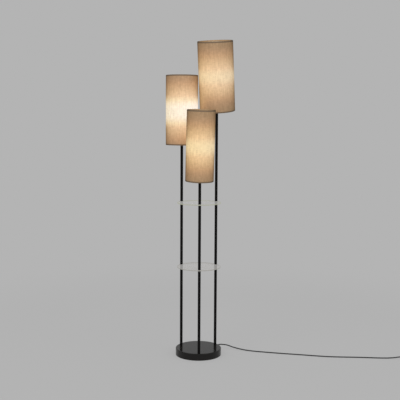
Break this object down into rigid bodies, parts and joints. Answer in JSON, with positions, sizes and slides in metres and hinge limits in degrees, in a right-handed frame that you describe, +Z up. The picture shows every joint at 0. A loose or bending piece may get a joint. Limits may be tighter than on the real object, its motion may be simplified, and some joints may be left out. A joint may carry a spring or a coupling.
{
  "type": "floor lamp",
  "caption": "Floor lamp with a round weighted base, slim poles tied by frosted discs, and tilting cylindrical linen shades at stepped heights, on a cord with a foot switch.",
  "frame": {"origin": "on the floor under the middle of the round base", "axes": "+Z up, +X to the side of the tallest shade, -Y towards the lowest shade at the front"},
  "size_m": [1.4186, 0.3395, 1.6029],
  "materials": {
    "black_paint": "satin powder coat",
    "cast_weight": "rough cast",
    "plated_steel": "zinc plated",
    "soft_rubber": "matt",
    "cord_jacket": "semi-matt",
    "frosted_acrylic": "frosted, satin faces and polished edge",
    "black_plastic": "fine grain",
    "brass": "plain",
    "opal_glass": "opal, satin",
    "linen": "natural linen with slubs"
  },
  "bodies": {
    "stand": {"base_cover": "black_paint", "right_pole_lower": "black_paint", "right_pole_middle": "black_paint", "right_pole_upper": "black_paint", "left_pole_lower": "black_paint", "left_pole_middle": "black_paint", "left_pole_upper": "black_paint", "front_pole_lower": "black_paint", "front_pole_middle": "black_paint", "front_pole_upper": "black_paint", "base_weight": "cast_weight", "base_plate": "plated_steel", "base_screws": "plated_steel", "pole_nuts": "plated_steel", "pole_nipples": "plated_steel", "right_gimbal_ring": "plated_steel", "left_gimbal_ring": "plated_steel", "front_gimbal_ring": "plated_steel", "base_pad": "soft_rubber", "disc_gaskets": "soft_rubber", "cord_entry": "cord_jacket", "cord_run": "cord_jacket", "cord_coil": "cord_jacket", "right_lead": "cord_jacket", "left_lead": "cord_jacket", "front_lead": "cord_jacket", "lower_disc": "frosted_acrylic", "upper_disc": "frosted_acrylic", "right_holder_cap": "black_plastic", "right_holder_body": "black_plastic", "right_holder_ring": "black_plastic", "left_holder_cap": "black_plastic", "left_holder_body": "black_plastic", "left_holder_ring": "black_plastic", "front_holder_cap": "black_plastic", "front_holder_body": "black_plastic", "front_holder_ring": "black_plastic", "terminal_block": "black_plastic", "cord_tie": "black_plastic", "switch_base": "black_plastic", "switch_cover": "black_plastic", "plug_body": "black_plastic", "holder_contacts": "brass", "plug_pins": "brass"},
    "right_shade": {"right_shade_fabric": "linen", "right_shade_top_ring": "plated_steel", "right_shade_frame": "plated_steel"},
    "right_bulb": {"right_bulb_cap": "brass", "right_bulb_globe": "opal_glass"},
    "left_shade": {"left_shade_fabric": "linen", "left_shade_top_ring": "plated_steel", "left_shade_frame": "plated_steel"},
    "left_bulb": {"left_bulb_cap": "brass", "left_bulb_globe": "opal_glass"},
    "front_shade": {"front_shade_fabric": "linen", "front_shade_top_ring": "plated_steel", "front_shade_frame": "plated_steel"},
    "front_bulb": {"front_bulb_cap": "brass", "front_bulb_globe": "opal_glass"},
    "switch_button": {"switch_button": "black_plastic"}
  },
  "joints": [
    {"name": "right_shade_tilt", "type": "hinge", "parent": "stand", "child": "right_shade", "pos_m": [0.08662, 0.05329, 1.333], "axis": [0.9516, -0.3074, 0], "range_deg": [-18.4, 3.6]},
    {"name": "left_shade_tilt", "type": "hinge", "parent": "stand", "child": "left_shade", "pos_m": [-0.08946, 0.04837, 1.1625], "axis": [1, 0, 0], "range_deg": [-10, 10]},
    {"name": "front_shade_tilt", "type": "hinge", "parent": "stand", "child": "front_shade", "pos_m": [0.00284, -0.10166, 0.99], "axis": [0.9397, 0.342, 0], "range_deg": [-7.4, 6.6]},
    {"name": "right_bulb_turn", "type": "hinge", "parent": "stand", "child": "right_bulb", "pos_m": [0.08662, 0.05329, 1.353], "axis": [0, 0, 1], "range_deg": [0, 1800]},
    {"name": "left_bulb_turn", "type": "hinge", "parent": "stand", "child": "left_bulb", "pos_m": [-0.08946, 0.04837, 1.1825], "axis": [0, 0, 1], "range_deg": [0, 1800]},
    {"name": "front_bulb_turn", "type": "hinge", "parent": "stand", "child": "front_bulb", "pos_m": [0.00284, -0.10166, 1.01], "axis": [0, 0, 1], "range_deg": [0, 1800]},
    {"name": "switch_press", "type": "slide", "parent": "stand", "child": "switch_button", "axis": [0, 0, -1], "range_m": [0, 0.003], "stiffness_N_per_m": 2500, "springref_m": -0.0015}
  ]
}
